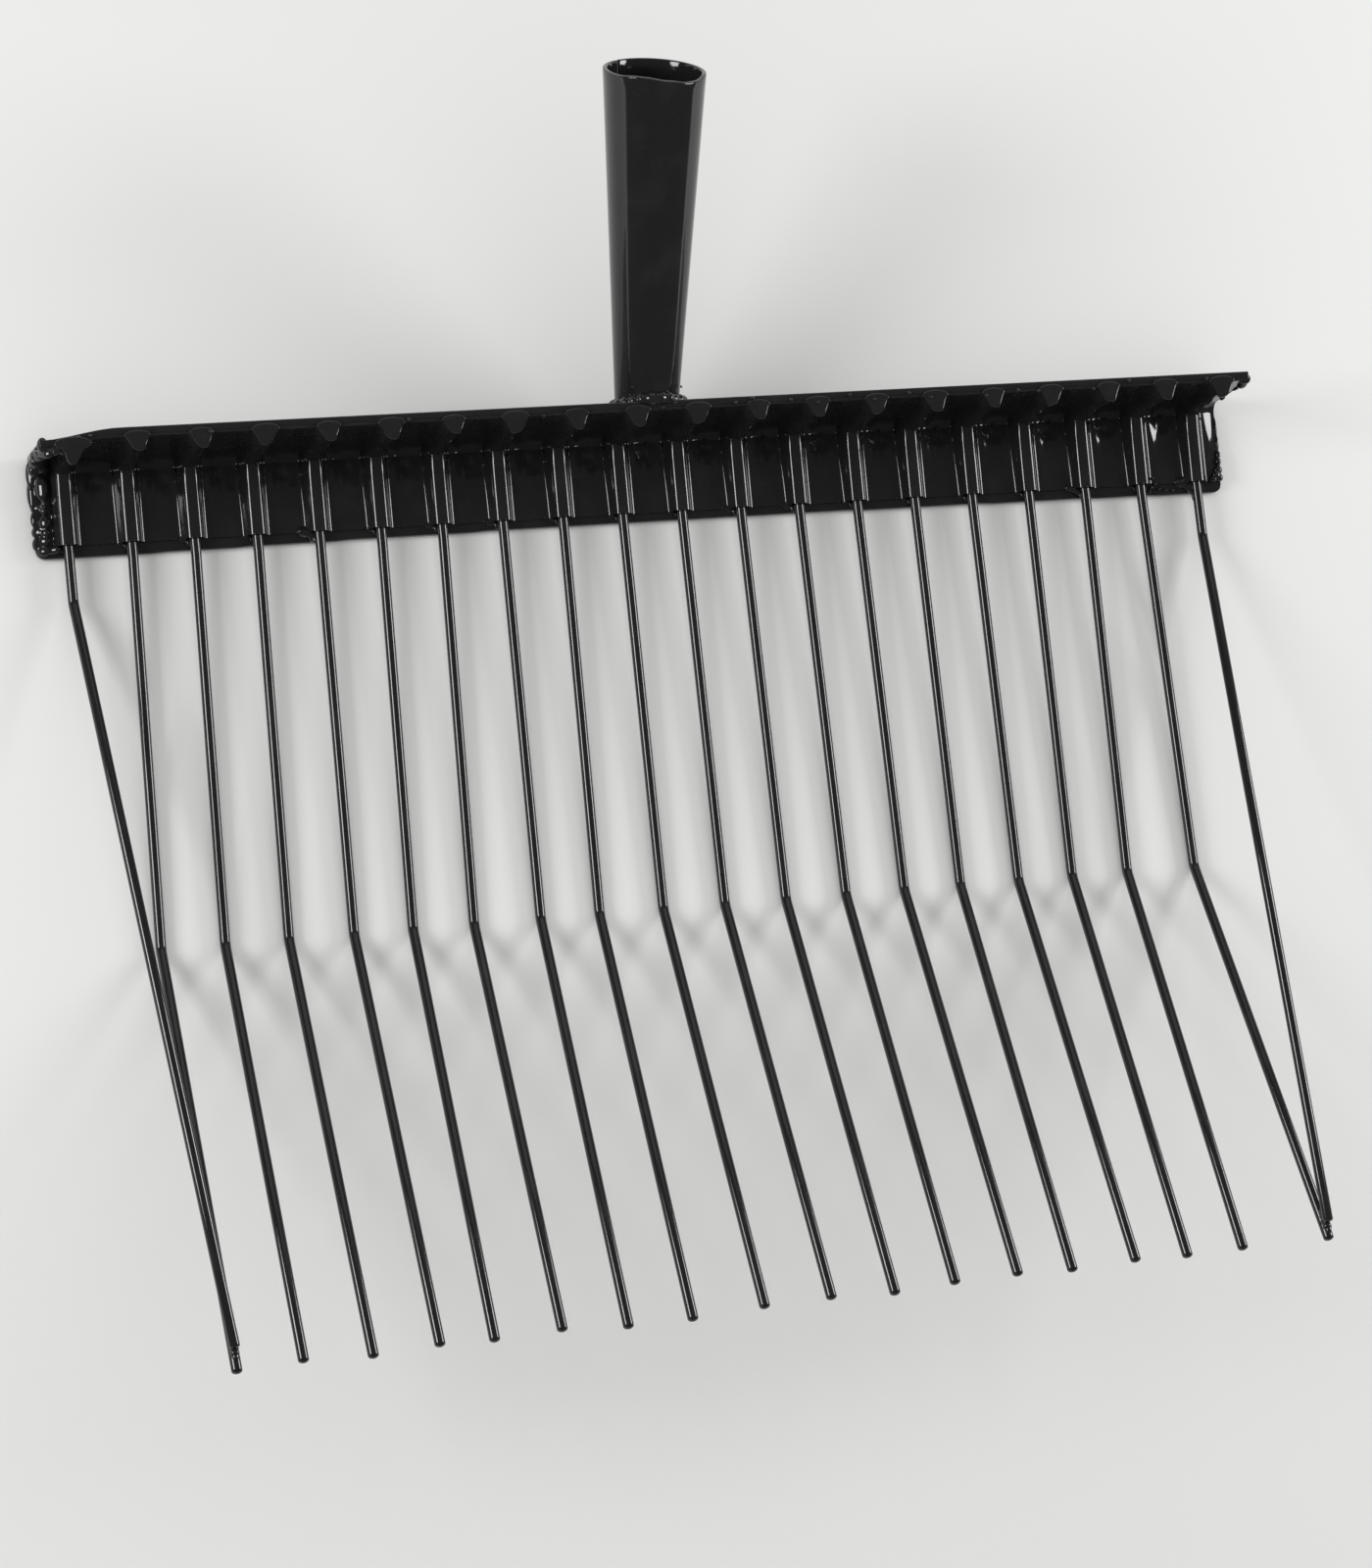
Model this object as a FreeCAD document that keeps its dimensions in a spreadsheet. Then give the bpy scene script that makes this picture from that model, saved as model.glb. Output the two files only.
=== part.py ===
import FreeCAD, Part
import Sketcher
import math
import os

from FreeCAD import Placement, Rotation, Vector

# Welded head of a manure fork, lying on its back on the floor.
# X runs along the head, Y from the tine tips up towards the handle socket, Z up from the floor.
# The origin is in the middle of the backing angle's flat rear face.

os.makedirs("parts", exist_ok=True)
doc = FreeCAD.newDocument("ManureForkHead")
sheet = doc.addObject("Spreadsheet::Sheet", "Sizes")

# Lengths in millimetres, angles in degrees
SIZES = {
    # Wire tines
    "tine_count": 20,
    "wire_diameter": 3.7,
    "wire_sides": 16,
    "wire_gap": 0.3,
    "straight_exit": 6,
    "knee_drop": 142.2,
    "lower_length": 160.6,
    "knee_turn": 27.7,
    "guard_bend_drop": 20.6,
    "guard_tip_gap": 0.2,
    "left_guard_setback": 7,
    "right_guard_setback": 5,
    # Backing angle, folded from plate
    "head_width": 440,
    "end_margin": 11,
    "plate_thickness": 2.5,
    "fold_height": 30.1,
    "skirt": 4,
    "flange_depth": 40.2,
    "root_radius": 0.8,
    "plate_corner_radius": 3.4,
    "origin_height": 13,
    # Ribbed cover, pressed from sheet
    "cover_thickness": 1,
    "cover_fold_radius": 4.2,
    "cover_back_chamfer": 1.5,
    "channel_gap": 0.15,
    "crown_wall": 1,
    "crown_half_angle": 60,
    "rib_waist_width": 7,
    "rib_waist_rise": 1,
    "rib_foot_width": 10.4,
    # Handle socket, rolled from sheet
    "socket_base_radius": 11.2,
    "socket_mouth_radius": 17.95,
    "socket_length": 121,
    "socket_wall": 1.6,
    "socket_lean": 28.8,
    "socket_offset": -4,
    "socket_depth": 26.4,
    "socket_root": 12,
    "seam_slit": 0.8,
    "seam_angle": 35,
    "mouth_slant": 2.5,
    "socket_weld_sides": 24,
    "socket_weld_leg": 3,
    "socket_weld_land": 0.5,
    # Weld tabs on the flange's front edge
    "tab_width": 8.2,
    "tab_rise": 1.2,
    "tab_hang": 6.3,
    "tab_thickness": 1.7,
    "tab_chamfer": 1.1,
    "tab_facets": 5,
    # Weld beads over the two ends
    "bead_rise": 2.2,
    "bead_side": 1.3,
    "bead_overhang": 1,
    "bead_setback": 0.8,
    "bead_gap": 0.4,
    "right_bead_foot": 2.6,
    # Welds that hold the guard tips
    "tip_weld_radius": 1.7,
    "tip_weld_length": 8,
    "tip_weld_shift": 1.3,
    # How far every cutting shape runs past what it cuts
    "overrun": 5,
}

# Sideways places of tines 2 to 19 as shares of the pitch, first at the knees and then at the tips
KNEE_LEAN_SHARES = [-0.12, -0.11, -0.10, -0.06, -0.11, -0.12, -0.03, -0.06, 0,
                    0.03, 0.06, 0.08, 0.08, 0.05, 0.06, 0, -0.03, 0.16]
TIP_LEAN_SHARES = [-0.07, -0.07, -0.03, -0.01, -0.18, -0.13, -0.12, -0.11, 0.04,
                   0.11, 0.12, 0.11, 0.14, 0.03, 0.09, -0.05, -0.11, 0.35]
# What tines 2 to 19 are longer than the lower length, as shares of the pitch
TIP_LENGTH_SHARES = [0.13, 0.07, 0.12, 0.05, 0.07, 0.02, 0.09, 0.08, 0,
                     -0.03, 0.01, -0.06, -0.09, -0.06, -0.11, -0.09, -0.12, -0.13]

for row, (alias, value) in enumerate(SIZES.items(), start=1):
    sheet.set("A%d" % row, alias)
    sheet.set("B%d" % row, str(value))
    sheet.setAlias("B%d" % row, alias)
doc.recompute()

# Levels that several pieces share
WIRE_LEVEL = "(Sizes.plate_thickness + Sizes.wire_gap + Sizes.wire_diameter / 2)"
WIRE_HEIGHT = "(Sizes.fold_height - Sizes.wire_gap - Sizes.wire_diameter / 2)"
COVER_FACE = "(Sizes.plate_thickness + Sizes.cover_thickness)"
COVER_SOFFIT = "(Sizes.fold_height - Sizes.cover_thickness)"
FLANGE_TOP = "(Sizes.fold_height + Sizes.plate_thickness)"
CHANNEL = "(Sizes.wire_diameter / 2 + Sizes.channel_gap)"
CROWN = "(Sizes.wire_diameter / 2 + Sizes.channel_gap + Sizes.crown_wall)"
PITCH = "((Sizes.head_width - 2 * Sizes.end_margin) / (Sizes.tine_count - 1))"
FIRST_TINE = "(Sizes.end_margin - Sizes.head_width / 2)"

parts = []


def number(expression):
    """The value of an expression on the sheet."""
    return float(sheet.evalExpression(expression))


def keep(part, label, x="0", y="0", z="0"):
    """Name a sub-part and place it, with Y counted from the cover's lower edge."""
    part.Label = label
    part.setExpression("Placement.Base.x", x)
    part.setExpression("Placement.Base.y", y + " - Sizes.origin_height")
    part.setExpression("Placement.Base.z", z)
    parts.append(part)
    return part


def arc_side(start, end, radius, turn):
    """The arc under a half circle from start to end that turns left (1) or right (-1)."""
    chord = end - start
    reach = math.sqrt(radius ** 2 - (chord.Length / 2) ** 2)
    left = Vector(-chord.y, chord.x, 0).normalize()
    centre = (start + end) / 2 + left * reach * turn
    first, last = (start, end) if turn > 0 else (end, start)
    opening = math.atan2(first.y - centre.y, first.x - centre.x)
    closing = math.atan2(last.y - centre.y, last.x - centre.x)
    if closing < opening:
        closing += 2 * math.pi
    return Part.ArcOfCircle(Part.Circle(centre, Vector(0, 0, 1), radius), opening, closing)


def outline(body, name, role, corners, arcs=None, level="0"):
    """A closed sketch on an origin plane, with its corners and round sides bound to the sheet.

    Each corner is a pair of expressions. arcs gives the radius and the turn of each side that is round.
    """
    arcs = arcs or {}
    sketch = body.newObject("Sketcher::SketchObject", name)
    plane = next(feature for feature in body.Origin.OriginFeatures if feature.Role == role)
    sketch.AttachmentSupport = (plane, [""])
    sketch.MapMode = "FlatFace"
    sketch.setExpression("AttachmentOffset.Base.z", level)
    points = [Vector(number(x), number(y), 0) for x, y in corners]
    from_ends = []
    to_ends = []
    for side, start in enumerate(points):
        end = points[(side + 1) % len(points)]
        backwards = side in arcs and arcs[side][1] < 0
        from_ends.append(2 if backwards else 1)
        to_ends.append(1 if backwards else 2)
        if side in arcs:
            radius, turn = arcs[side]
            sketch.addGeometry(arc_side(start, end, number(radius), turn), False)
        else:
            sketch.addGeometry(Part.LineSegment(start, end), False)
    for side in range(len(points)):
        sketch.addConstraint(Sketcher.Constraint(
            "Coincident", side - 1 if side else len(points) - 1, to_ends[side - 1], side, from_ends[side]))
    for side, corner in enumerate(corners):
        for axis, text, value in (("X", corner[0], points[side].x), ("Y", corner[1], points[side].y)):
            if text == "0":
                line = -2 if axis == "X" else -1
                sketch.addConstraint(Sketcher.Constraint("PointOnObject", side, from_ends[side], line))
                continue
            index = sketch.addConstraint(Sketcher.Constraint(
                "Distance" + axis, -1, 1, side, from_ends[side], value))
            sketch.setExpression("Constraints[%d]" % index, text)
    for side, (radius, turn) in arcs.items():
        index = sketch.addConstraint(Sketcher.Constraint("Radius", side, number(radius)))
        sketch.setExpression("Constraints[%d]" % index, radius)
    return sketch


def pad(body, name, sketch, length, reversed_=False, midplane=False):
    """Pad a sketch by a length given as an expression."""
    feature = body.newObject("PartDesign::Pad", name)
    feature.Profile = sketch
    feature.setExpression("Length", length)
    feature.Reversed = reversed_
    feature.Midplane = midplane
    return feature


def folded(face, soffit, lower_edge, thickness, inner_radius, outer_radius, outer_round=True):
    """Corners and round sides of an L-shaped fold, from its lower edge round to the flange's front.

    The fold's outside is round, or else it is cut flat across the same corner.
    """
    back = "(%s - %s)" % (face, thickness)
    top = "(%s + %s)" % (soffit, thickness)
    corners = [
        (lower_edge, back),
        ("%s - %s" % (top, outer_radius), back),
        (top, "%s + %s" % (back, outer_radius)),
        (top, "Sizes.flange_depth"),
        (soffit, "Sizes.flange_depth"),
        (soffit, "%s + %s" % (face, inner_radius)),
        ("%s - %s" % (soffit, inner_radius), face),
        (lower_edge, face),
    ]
    arcs = {5: (inner_radius, -1)}
    if outer_round:
        arcs[1] = (outer_radius, 1)
    return corners, arcs


def backing_angle():
    """Plate folded into an angle, with its two lower corners rounded."""
    body = doc.addObject("PartDesign::Body", "backing_angle")
    corners, arcs = folded("Sizes.plate_thickness", "Sizes.fold_height", "-Sizes.skirt",
                           "Sizes.plate_thickness", "Sizes.root_radius",
                           "(Sizes.root_radius + Sizes.plate_thickness)")
    profile = outline(body, "FoldProfile", "YZ_Plane", corners, arcs)
    fold = pad(body, "Fold", profile, "Sizes.head_width", midplane=True)
    doc.recompute()
    corner_edges = []
    for index, edge in enumerate(fold.Shape.Edges, start=1):
        across = edge.BoundBox
        if across.YMax < 0 and across.XLength < across.ZLength:
            corner_edges.append("Edge%d" % index)
    rounding = body.newObject("PartDesign::Fillet", "LowerCorners")
    rounding.Base = (fold, corner_edges)
    rounding.setExpression("Radius", "Sizes.plate_corner_radius")
    return keep(body, "backing_angle")


def rib_section(body, name, role, base, soffit, middle, axis, side):
    """Half-round rib over one wire, on a foot that spreads to the flat sheet.

    base and soffit are the levels inside the sheet and on its face, middle is the wire's level, and
    side is the direction from the sheet to the crown.
    """
    foot = "Sizes.rib_foot_width / 2"
    waist = "Sizes.rib_waist_width / 2"
    crown_x = "%s * sin(Sizes.crown_half_angle)" % CROWN
    crown_y = "%s %s %s * cos(Sizes.crown_half_angle)" % (middle, side, CROWN)
    waist_y = "%s %s Sizes.rib_waist_rise" % (soffit, side)
    half = [(foot, base), (foot, soffit), (waist, waist_y), (crown_x, crown_y)]
    right = [("%s + %s" % (axis, x), y) for x, y in half]
    left = [("%s - %s" % (axis, x), y) for x, y in reversed(half)]
    return outline(body, name, role, right + left, {3: (CROWN, 1 if side == "+" else -1)})


def channel_section(body, name, role, back, middle, axis, side):
    """Channel that leaves the wire free inside its rib, open at the back of the sheet."""
    chamfer = "%s * tan(22.5)" % CHANNEL
    half = [
        (CHANNEL, back),
        (CHANNEL, "%s %s %s" % (middle, side, chamfer)),
        (chamfer, "%s %s %s" % (middle, side, CHANNEL)),
    ]
    right = [("%s + %s" % (axis, x), y) for x, y in half]
    left = [("%s - %s" % (axis, x), y) for x, y in reversed(half)]
    return outline(body, name, role, right + left)


def ribbed_cover():
    """Sheet pressed with one half-round rib over each wire, down the leg and along the flange."""
    body = doc.addObject("PartDesign::Body", "ribbed_cover")
    corners, arcs = folded(COVER_FACE, COVER_SOFFIT, "0", "Sizes.cover_thickness",
                           "Sizes.cover_fold_radius", "Sizes.cover_back_chamfer", outer_round=False)
    profile = outline(body, "SheetProfile", "YZ_Plane", corners, arcs)
    pad(body, "Sheet", profile, "Sizes.head_width", midplane=True)

    leg_base = "Sizes.plate_thickness + Sizes.cover_thickness / 2"
    flange_base = "Sizes.fold_height - Sizes.cover_thickness / 2"
    leg_section = rib_section(body, "LegRibSection", "XZ_Plane", leg_base, COVER_FACE,
                              WIRE_LEVEL, FIRST_TINE, "+")
    leg_rib = pad(body, "LegRib", leg_section, flange_base, reversed_=True)
    flange_section = rib_section(body, "FlangeRibSection", "XY_Plane", flange_base, COVER_SOFFIT,
                                 WIRE_HEIGHT, FIRST_TINE, "-")
    flange_section.setExpression("AttachmentOffset.Base.z", leg_base)
    flange_rib = pad(body, "FlangeRib", flange_section, "Sizes.flange_depth - (%s)" % leg_base)

    leg_channel = body.newObject("PartDesign::Pocket", "LegChannel")
    leg_channel.Profile = channel_section(body, "LegChannelSection", "XZ_Plane", "-Sizes.overrun",
                                          WIRE_LEVEL, FIRST_TINE, "+")
    flange_channel = body.newObject("PartDesign::Pocket", "FlangeChannel")
    flange_channel.Profile = channel_section(body, "FlangeChannelSection", "XY_Plane",
                                             "Sizes.fold_height + Sizes.overrun",
                                             WIRE_HEIGHT, FIRST_TINE, "-")
    for channel in (leg_channel, flange_channel):
        channel.Type = "ThroughAll"
        channel.Midplane = True
    doc.recompute()

    row = body.newObject("PartDesign::LinearPattern", "RibRow")
    row.Originals = [leg_rib, flange_rib, leg_channel, flange_channel]
    row.Direction = (flange_section, ["H_Axis"])
    row.setExpression("Occurrences", "Sizes.tine_count")
    row.setExpression("Length", "Sizes.head_width - 2 * Sizes.end_margin")
    body.Tip = row
    return keep(body, "ribbed_cover")


def tine_path(index):
    """Corner points of one wire, from its weld tab round the fold and down to its tip."""
    count = int(number("Sizes.tine_count"))
    pitch = number(PITCH)
    radius = number("Sizes.wire_diameter / 2")
    level = number(WIRE_LEVEL)
    height = number(WIRE_HEIGHT)
    origin_height = number("Sizes.origin_height")
    turn = math.radians(number("Sizes.knee_turn"))
    knee_drop = number("Sizes.knee_drop")

    # The knee's underside touches the floor, so the upper run leans back a little
    fall = math.atan((level - radius) / knee_drop)
    climb = turn - fall
    knee_level = radius * math.cos(climb / 2 - fall / 2) / math.cos(turn / 2)
    run = Vector(0, -math.cos(climb), math.sin(climb))
    lift = Vector(0, math.sin(climb), math.cos(climb))

    def wire(at):
        """Points of tine number at, counted from the left, as far as its tip."""
        share = min(max(at - 2, 0), len(KNEE_LEAN_SHARES) - 1)
        root = (at - (count + 1) / 2) * pitch
        knee = Vector(root + KNEE_LEAN_SHARES[share] * pitch, -knee_drop, knee_level)
        tip = knee + run * (number("Sizes.lower_length") + TIP_LENGTH_SHARES[share] * pitch)
        tip.x = root + TIP_LEAN_SHARES[share] * pitch
        return root, knee, tip

    root, knee, tip = wire(index)
    points = [Vector(root, height, number("Sizes.flange_depth")), Vector(root, height, level)]
    if index in (1, count):
        # A guard runs straight across to lie on its neighbour's tip
        setback = number("Sizes.left_guard_setback" if index == 1 else "Sizes.right_guard_setback")
        beside = wire(2 if index == 1 else count - 1)
        axis = (beside[2] - beside[1]).normalize()
        clear = 2 * radius + number("Sizes.guard_tip_gap")
        points.append(Vector(root, -number("Sizes.guard_bend_drop"), level))
        points.append(beside[2] - axis * setback + lift * clear)
    else:
        points.append(Vector(root, -number("Sizes.straight_exit"), level))
        points.extend([knee, tip])
    return [point - Vector(0, origin_height, 0) for point in points]


def tine(index):
    """One round wire bent sharply under the flange and at its knee."""
    path = doc.addObject("Part::Polygon", "WirePath%02d" % index)
    path.Nodes = tine_path(index)
    path.Close = False
    section = doc.addObject("Part::RegularPolygon", "WireSection%02d" % index)
    section.setExpression("Polygon", "Sizes.wire_sides")
    section.setExpression("Circumradius", "Sizes.wire_diameter / 2")
    section.Placement = Placement(path.Nodes[0], Rotation(Vector(1, 0, 0), 180))
    wire = doc.addObject("Part::Sweep", "tine_%02d" % index)
    wire.Sections = [section]
    wire.Spine = (path, [])
    wire.Solid = True
    wire.Frenet = False
    wire.Transition = "Right corner"
    wire.Label = "tine_%02d" % index
    parts.append(wire)
    return wire


def taper_cone(name, inset, below, above):
    """Cone along the socket's own axis, set in from its outside, from below to above its length."""
    taper = "(Sizes.socket_mouth_radius - Sizes.socket_base_radius) / Sizes.socket_length"
    cone = doc.addObject("Part::Cone", name)
    cone.setExpression("Radius1", "Sizes.socket_base_radius - %s - %s * %s" % (inset, below, taper))
    cone.setExpression("Radius2", "Sizes.socket_mouth_radius - %s + %s * %s" % (inset, above, taper))
    cone.setExpression("Height", "%s + Sizes.socket_length + %s" % (below, above))
    cone.setExpression("Placement.Base.z", "-(%s)" % below)
    return cone


def socket_place(part, label):
    """Seat a piece of the socket on the flange, leaning forward."""
    part.Placement = Placement(Vector(), Rotation(Vector(1, 0, 0), number("Sizes.socket_lean - 90")))
    return keep(part, label, "Sizes.socket_offset", FLANGE_TOP, "Sizes.socket_depth")


def handle_socket():
    """Rolled taper tube, cut to the flange at its root, open along its seam and a little askew at its mouth."""
    outside = taper_cone("SocketOutside", "0", "Sizes.socket_root", "Sizes.overrun")
    bore = taper_cone("SocketBore", "Sizes.socket_wall", "(Sizes.socket_root + Sizes.overrun)",
                      "Sizes.overrun")
    below_flange = doc.addObject("Part::Box", "BelowFlange")
    above_mouth = doc.addObject("Part::Box", "AboveMouth")
    seam = doc.addObject("Part::Box", "SeamSlit")
    reach = "(Sizes.socket_mouth_radius + Sizes.overrun)"
    below_flange.setExpression("Length", "2 * " + reach)
    below_flange.setExpression("Width", "2 * " + reach)
    below_flange.setExpression("Height", reach)
    turned = Rotation(Vector(1, 0, 0), -number("Sizes.socket_lean"))
    span = number(reach)
    below_flange.Placement = Placement(turned.multVec(Vector(-span, -span, -span)), turned)
    around = Rotation(Vector(0, 0, 1), number("Sizes.seam_angle"))
    askew = around * Rotation(Vector(1, 0, 0), number("Sizes.mouth_slant"))
    foot = number("Sizes.socket_length")
    above_mouth.setExpression("Length", "2 * " + reach)
    above_mouth.setExpression("Width", "2 * " + reach)
    above_mouth.setExpression("Height", "2 * Sizes.overrun")
    above_mouth.Placement = Placement(Vector(0, 0, foot) + askew.multVec(Vector(-span, -span, 0)), askew)
    seam.setExpression("Length", "Sizes.seam_slit")
    seam.setExpression("Width", reach)
    seam.setExpression("Height", "2 * Sizes.socket_length")
    slit = number("Sizes.seam_slit")
    seam.Placement = Placement(around.multVec(Vector(-slit / 2, 0, -foot / 2)), around)
    cutters = doc.addObject("Part::MultiFuse", "SocketCutters")
    cutters.Shapes = [bore, below_flange, above_mouth, seam]
    tube = doc.addObject("Part::Cut", "handle_socket")
    tube.Base = outside
    tube.Tool = cutters
    return socket_place(tube, "handle_socket")


def socket_base_weld():
    """Fillet weld all round the socket's root, level with the flange."""
    toe = doc.addObject("Part::Prism", "WeldToe")
    slide = "Sizes.socket_weld_leg * tan(Sizes.socket_lean) / 2"
    toe.setExpression("Polygon", "Sizes.socket_weld_sides")
    toe.setExpression("Circumradius",
                      "Sizes.socket_base_radius / cos(Sizes.socket_lean) + Sizes.socket_weld_leg")
    toe.setExpression("Height", "Sizes.socket_weld_leg")
    turned = Rotation(Vector(1, 0, 0), -number("Sizes.socket_lean"))
    toe.Placement = Placement(turned.multVec(Vector(0, -number(slide), 0)), turned)
    doc.recompute()
    top = max(toe.Shape.Faces, key=lambda face: face.CenterOfMass.dot(turned.multVec(Vector(0, 0, 1))))
    size = number("Sizes.socket_weld_leg - Sizes.socket_weld_land")
    bead = doc.addObject("Part::Chamfer", "WeldBead")
    bead.Base = toe
    bead.Edges = [(index, size, size) for index, edge in enumerate(toe.Shape.Edges, start=1)
                  if any(edge.isSame(rim) for rim in top.Edges)]
    inside = taper_cone("WeldInside", "0", "Sizes.socket_root", "0")
    ring = doc.addObject("Part::Cut", "socket_base_weld")
    ring.Base = bead
    ring.Tool = inside
    return socket_place(ring, "socket_base_weld")


def edge_weld(index):
    """Rounded weld tab that closes one rib at the flange's front edge."""
    label = "edge_weld_%02d" % index
    body = doc.addObject("PartDesign::Body", label)
    half = "Sizes.tab_width / 2"
    corners = [(half, "Sizes.tab_rise"), ("-" + half, "Sizes.tab_rise")]
    facets = int(number("Sizes.tab_facets"))
    for step in range(facets + 1):
        turn = "%g" % (180 * (1 + step / facets))
        corners.append(("%s * cos(%s)" % (half, turn),
                        "%s * (1 + sin(%s)) - Sizes.tab_hang" % (half, turn)))
    sketch = outline(body, "TabOutline%02d" % index, "XY_Plane", corners)
    tab = pad(body, "Tab%02d" % index, sketch, "Sizes.tab_thickness")
    doc.recompute()
    heights = [face.CenterOfMass.z for face in tab.Shape.Faces]
    front = "Face%d" % (heights.index(max(heights)) + 1)
    rounding = body.newObject("PartDesign::Chamfer", "TabRounding%02d" % index)
    rounding.Base = (tab, [front])
    rounding.setExpression("Size", "Sizes.tab_chamfer")
    x = "(%d - (Sizes.tine_count + 1) / 2) * %s" % (index, PITCH)
    return keep(body, label, x, "Sizes.fold_height", "Sizes.flange_depth")


def end_weld(label, side, foot):
    """Bead over one end of the head, lapping the plate's end and the cover beside the last rib."""
    body = doc.addObject("PartDesign::Body", label)
    edge = "Sizes.head_width / 2"
    end = edge if side > 0 else "-" + edge
    crest = "(%s + Sizes.bead_rise)" % COVER_FACE
    crest_soffit = "(%s - Sizes.bead_rise)" % COVER_SOFFIT
    crest_radius = "(Sizes.cover_fold_radius - Sizes.bead_rise)"
    lap_corners, lap_arcs = folded(crest, crest_soffit, "0", "Sizes.bead_rise",
                                   crest_radius, "Sizes.cover_fold_radius")
    lap_profile = outline(body, "LapProfile", "YZ_Plane", lap_corners, lap_arcs, end)
    pad(body, "Lap", lap_profile, foot, reversed_=side > 0)
    cap_thickness = "(%s + Sizes.bead_rise - Sizes.bead_setback)" % COVER_FACE
    cap_corners, cap_arcs = folded(crest, crest_soffit, "-Sizes.skirt - Sizes.bead_overhang",
                                   cap_thickness, crest_radius, "Sizes.root_radius")
    cap_profile = outline(body, "CapProfile", "YZ_Plane", cap_corners, cap_arcs, end)
    pad(body, "Cap", cap_profile, "Sizes.bead_side", reversed_=side < 0)
    return keep(body, label)


def guard_tip_weld(label, guard, neighbour, side):
    """Short weld in the crook between a guard's tip and the tine that it lies on."""
    guard_tip = guard.Spine[0].Nodes[-1]
    knee, tip = neighbour.Spine[0].Nodes[-2:]
    axis = (tip - knee).normalize()
    on_tine = knee + axis * (guard_tip - knee).dot(axis)
    outwards = Vector(side, 0, 0)
    length = number("Sizes.tip_weld_length")
    start = (guard_tip + on_tine) / 2 + outwards * number("Sizes.tip_weld_shift") - axis * length
    rod = doc.addObject("Part::Cylinder", "TipWeldRod")
    rod.setExpression("Radius", "Sizes.tip_weld_radius")
    rod.setExpression("Height", "Sizes.tip_weld_length")
    rod.Placement = Placement(start, Rotation(Vector(0, 0, 1), axis))
    wires = doc.addObject("Part::MultiFuse", "TipWeldWires")
    wires.Shapes = [guard, neighbour]
    weld = doc.addObject("Part::Cut", label)
    weld.Base = rod
    weld.Tool = wires
    weld.Label = label
    parts.append(weld)
    return weld


backing_angle()
ribbed_cover()
tines = [tine(index) for index in range(1, int(number("Sizes.tine_count")) + 1)]
handle_socket()
socket_base_weld()
for index in range(1, len(tines) + 1):
    edge_weld(index)
end_weld("end_weld_left", -1, "Sizes.end_margin - Sizes.rib_foot_width / 2 - Sizes.bead_gap")
end_weld("end_weld_right", 1, "Sizes.right_bead_foot")
doc.recompute()
guard_tip_weld("guard_tip_weld_left", tines[0], tines[1], -1)
guard_tip_weld("guard_tip_weld_right", tines[-1], tines[-2], 1)
doc.recompute()

for item in doc.Objects:
    if "Invalid" in item.State or "Error" in item.State:
        raise RuntimeError("%s failed" % item.Label)
for part in parts:
    if part.Shape.isNull() or not part.Shape.isValid():
        raise RuntimeError("%s has no sound shape" % part.Label)
    part.Shape.exportStep("parts/%s.step" % part.Label)
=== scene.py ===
import math

import bmesh
import bpy
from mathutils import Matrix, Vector


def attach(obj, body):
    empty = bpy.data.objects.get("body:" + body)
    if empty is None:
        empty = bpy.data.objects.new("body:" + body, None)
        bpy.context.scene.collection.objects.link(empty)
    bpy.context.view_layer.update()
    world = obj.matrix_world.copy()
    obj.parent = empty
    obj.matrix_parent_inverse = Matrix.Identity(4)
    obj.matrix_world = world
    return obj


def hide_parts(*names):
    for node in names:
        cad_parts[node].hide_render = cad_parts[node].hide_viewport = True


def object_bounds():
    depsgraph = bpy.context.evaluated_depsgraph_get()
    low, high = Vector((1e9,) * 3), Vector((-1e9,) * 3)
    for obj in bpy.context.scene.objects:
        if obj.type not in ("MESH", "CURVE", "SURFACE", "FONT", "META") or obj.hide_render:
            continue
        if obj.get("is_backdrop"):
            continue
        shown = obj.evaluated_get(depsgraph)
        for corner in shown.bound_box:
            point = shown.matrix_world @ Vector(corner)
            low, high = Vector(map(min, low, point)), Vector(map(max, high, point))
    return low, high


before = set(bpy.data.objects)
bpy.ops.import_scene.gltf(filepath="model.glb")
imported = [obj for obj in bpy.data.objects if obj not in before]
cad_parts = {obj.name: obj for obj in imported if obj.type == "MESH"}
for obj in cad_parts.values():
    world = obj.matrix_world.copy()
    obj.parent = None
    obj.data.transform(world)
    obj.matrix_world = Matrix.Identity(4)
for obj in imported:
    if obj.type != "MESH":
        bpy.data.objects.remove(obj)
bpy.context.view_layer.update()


# Backing angle. One strip of 2.5 mm steel plate, folded lengthwise into an L that lies on its back with the
# flange standing up along its far edge. The cover, the wires and the socket are all welded to it, and the
# finished head is dipped in gloss black paint.
mm = 0.001
head_half = 220 * mm
plate = 2.5 * mm
plate_edge = -17 * mm
plate_top = 19.6 * mm
plate_bend = 3.3 * mm
flange_front = 40.2 * mm
plate_corner = 3.4 * mm
plate_columns = 88
edge_round = 0.35 * mm
bow_middle = 10 * mm
bow_reaches = (185 * mm, 155 * mm, 120 * mm, 70 * mm)
bow_step = 0.3 * mm
knock_reach = 27 * mm
knock_in = 3.1 * mm
knock_down = 0.8 * mm


def pull(reach, x=0, y=0, z=0):
    """Move what is selected and carry the sheet round it along, less and less as far as reach."""
    bpy.ops.transform.translate(value=(x, y, z), use_proportional_edit=True, use_proportional_connected=True,
                                proportional_edit_falloff="SMOOTH", proportional_size=reach)


def knock_flange_corner():
    """Carry the sheet's front left corner on the flange in and down, as a hard knock has bent it."""
    choose(lambda at: at.x < -head_half + 2 * mm and at.z > flange_front - 1.5 * mm)
    pull(knock_reach, y=-knock_in, z=-knock_down)


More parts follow.
